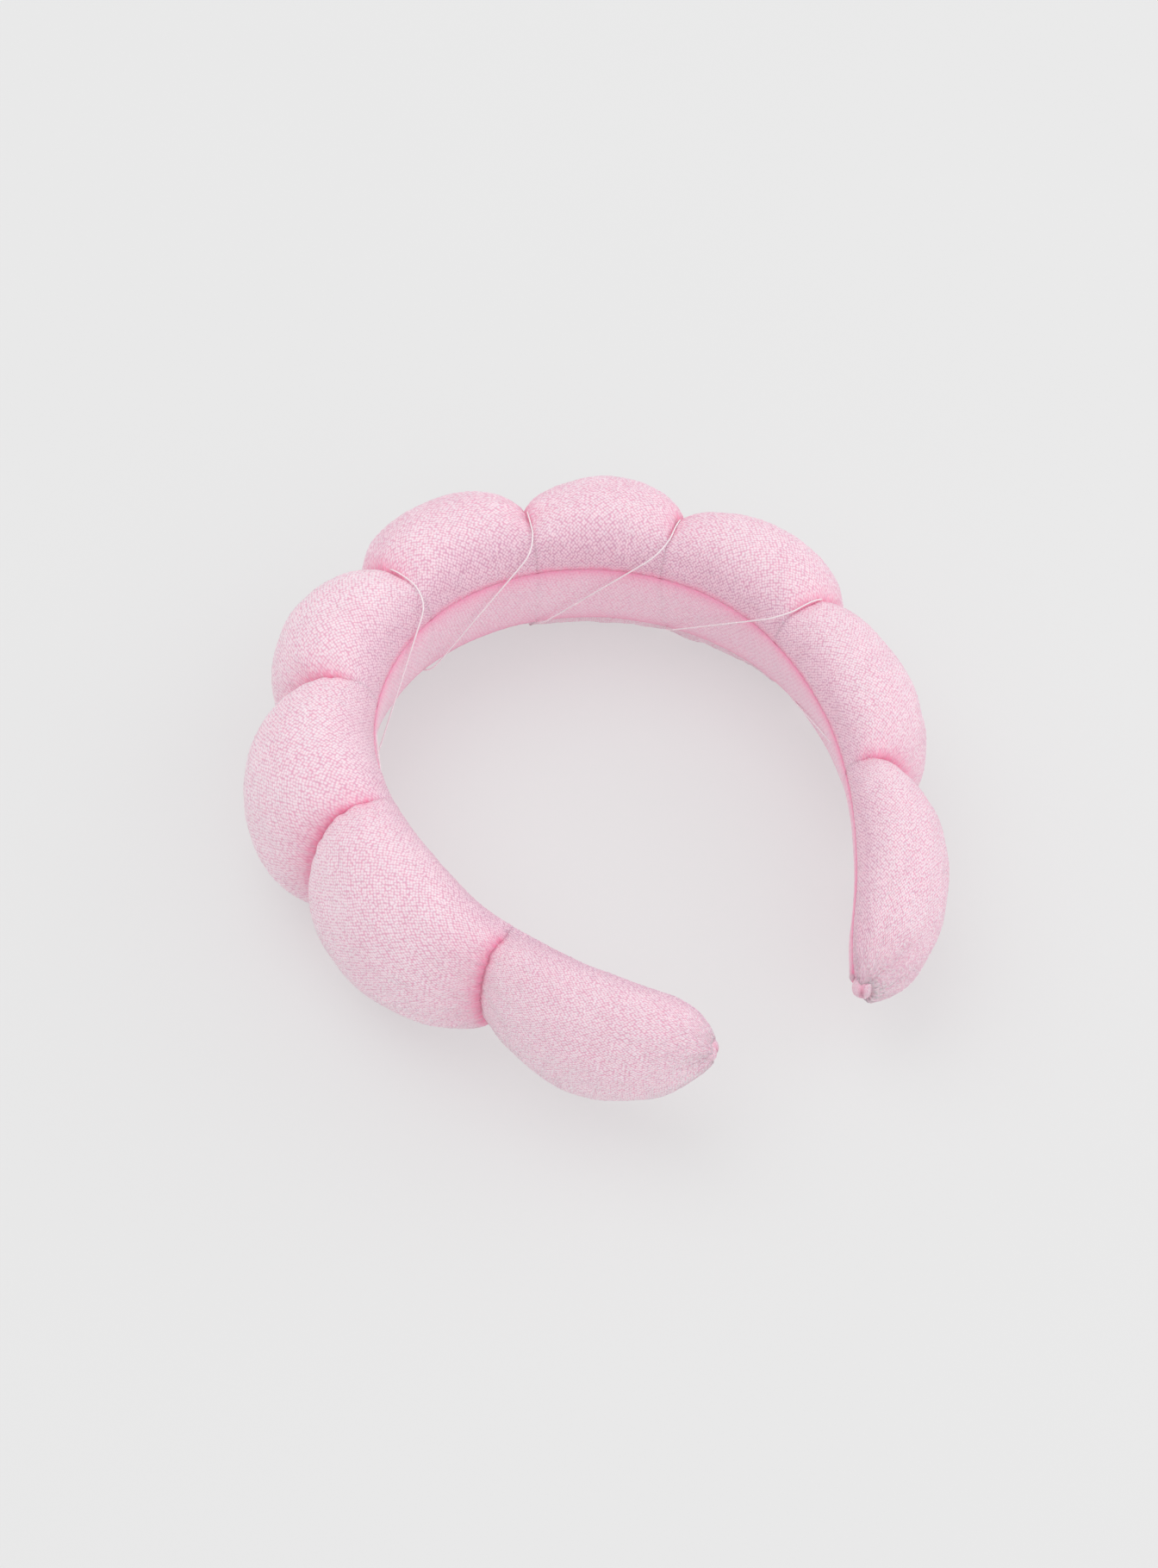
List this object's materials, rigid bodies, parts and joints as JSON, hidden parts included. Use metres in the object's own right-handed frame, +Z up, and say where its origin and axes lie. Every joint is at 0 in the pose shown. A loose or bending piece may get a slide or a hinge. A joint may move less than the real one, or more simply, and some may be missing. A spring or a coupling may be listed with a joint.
{
  "type": "spa headband",
  "caption": "Springy open headband wrapped in soft scalloped terry puffs, tied in at the pinches by a winding clear elastic thread; holds hair back.",
  "frame": {"origin": "middle of the bottom of the band as it lies on its side", "axes": "+Z up, across the width of the band; +Y from the opening towards the crown; X across the two arms"},
  "size_m": [0.1766, 0.2008, 0.0514],
  "materials": {
    "terry_cover": "looped terry knit, matt",
    "terry_lining": "looped terry knit, matt",
    "foam": "open-cell foam, matt",
    "hoop_plastic": "satin",
    "sewing_thread": "spun thread",
    "elastic_thread": "clear, glossy"
  },
  "bodies": {
    "crown": {"cover_crown": "terry_cover", "foam_crown": "foam", "hoop_crown": "hoop_plastic", "lining_crown": "terry_lining", "seam_thread_crown": "sewing_thread", "tie_thread_crown": "elastic_thread"},
    "left_1": {"cover_left_1": "terry_cover", "foam_left_1": "foam", "hoop_left_1": "hoop_plastic", "lining_left_1": "terry_lining", "seam_thread_left_1": "sewing_thread", "tie_thread_left_1": "elastic_thread"},
    "left_2": {"cover_left_2": "terry_cover", "foam_left_2": "foam", "hoop_left_2": "hoop_plastic", "lining_left_2": "terry_lining", "seam_thread_left_2": "sewing_thread", "tie_thread_left_2": "elastic_thread"},
    "left_3": {"cover_left_3": "terry_cover", "foam_left_3": "foam", "hoop_left_3": "hoop_plastic", "lining_left_3": "terry_lining", "seam_thread_left_3": "sewing_thread", "thread_knot_left": "elastic_thread", "tie_thread_left_3": "elastic_thread"},
    "left_tip": {"cover_left_tip": "terry_cover", "foam_left_tip": "foam", "hoop_left_tip": "hoop_plastic", "lining_left_tip": "terry_lining", "seam_thread_left_tip": "sewing_thread", "tip_fold_left": "terry_cover"},
    "right_1": {"cover_right_1": "terry_cover", "foam_right_1": "foam", "hoop_right_1": "hoop_plastic", "lining_right_1": "terry_lining", "seam_thread_right_1": "sewing_thread", "tie_thread_right_1": "elastic_thread"},
    "right_2": {"cover_right_2": "terry_cover", "foam_right_2": "foam", "hoop_right_2": "hoop_plastic", "lining_right_2": "terry_lining", "seam_thread_right_2": "sewing_thread", "tie_thread_right_2": "elastic_thread"},
    "right_3": {"cover_right_3": "terry_cover", "foam_right_3": "foam", "hoop_right_3": "hoop_plastic", "lining_right_3": "terry_lining", "seam_thread_right_3": "sewing_thread", "thread_knot_right": "elastic_thread", "tie_thread_right_3": "elastic_thread"},
    "right_tip": {"cover_right_tip": "terry_cover", "foam_right_tip": "foam", "hoop_right_tip": "hoop_plastic", "lining_right_tip": "terry_lining", "seam_thread_right_tip": "sewing_thread", "tip_fold_right": "terry_cover"}
  },
  "joints": [
    {"name": "left_flex_1", "type": "hinge", "parent": "crown", "child": "left_1", "pos_m": [-0.01746, 0.05972, 0.0254], "axis": [0, 0, -1], "range_deg": [-2, 5.5], "stiffness_Nm_per_rad": 6},
    {"name": "left_flex_2", "type": "hinge", "parent": "left_1", "child": "left_2", "pos_m": [-0.04651, 0.04012, 0.0254], "axis": [0, 0, -1], "range_deg": [-1.74, 4.6]},
    {"name": "left_flex_3", "type": "hinge", "parent": "left_2", "child": "left_3", "pos_m": [-0.0611, 0.00309, 0.0254], "axis": [0, 0, -1], "range_deg": [-1.19, 3.1]},
    {"name": "left_flex_4", "type": "hinge", "parent": "left_3", "child": "left_tip", "pos_m": [-0.05332, -0.04338, 0.0254], "axis": [0, 0, -1], "range_deg": [-0.5, 1.2]},
    {"name": "right_flex_1", "type": "hinge", "parent": "crown", "child": "right_1", "pos_m": [0.01746, 0.05972, 0.0254], "axis": [0, 0, 1], "range_deg": [-2, 5.5], "stiffness_Nm_per_rad": 6},
    {"name": "right_flex_2", "type": "hinge", "parent": "right_1", "child": "right_2", "pos_m": [0.04651, 0.04012, 0.0254], "axis": [0, 0, 1], "range_deg": [-1.74, 4.6]},
    {"name": "right_flex_3", "type": "hinge", "parent": "right_2", "child": "right_3", "pos_m": [0.0611, 0.00309, 0.0254], "axis": [0, 0, 1], "range_deg": [-1.19, 3.1]},
    {"name": "right_flex_4", "type": "hinge", "parent": "right_3", "child": "right_tip", "pos_m": [0.05332, -0.04338, 0.0254], "axis": [0, 0, 1], "range_deg": [-0.5, 1.2]}
  ],
  "couplings": [
    {"joint": "left_flex_2", "follows": "left_flex_1", "ratio": 0.8182},
    {"joint": "left_flex_3", "follows": "left_flex_1", "ratio": 0.5455},
    {"joint": "left_flex_4", "follows": "left_flex_1", "ratio": 0.2},
    {"joint": "right_flex_2", "follows": "right_flex_1", "ratio": 0.8182},
    {"joint": "right_flex_3", "follows": "right_flex_1", "ratio": 0.5455},
    {"joint": "right_flex_4", "follows": "right_flex_1", "ratio": 0.2}
  ]
}
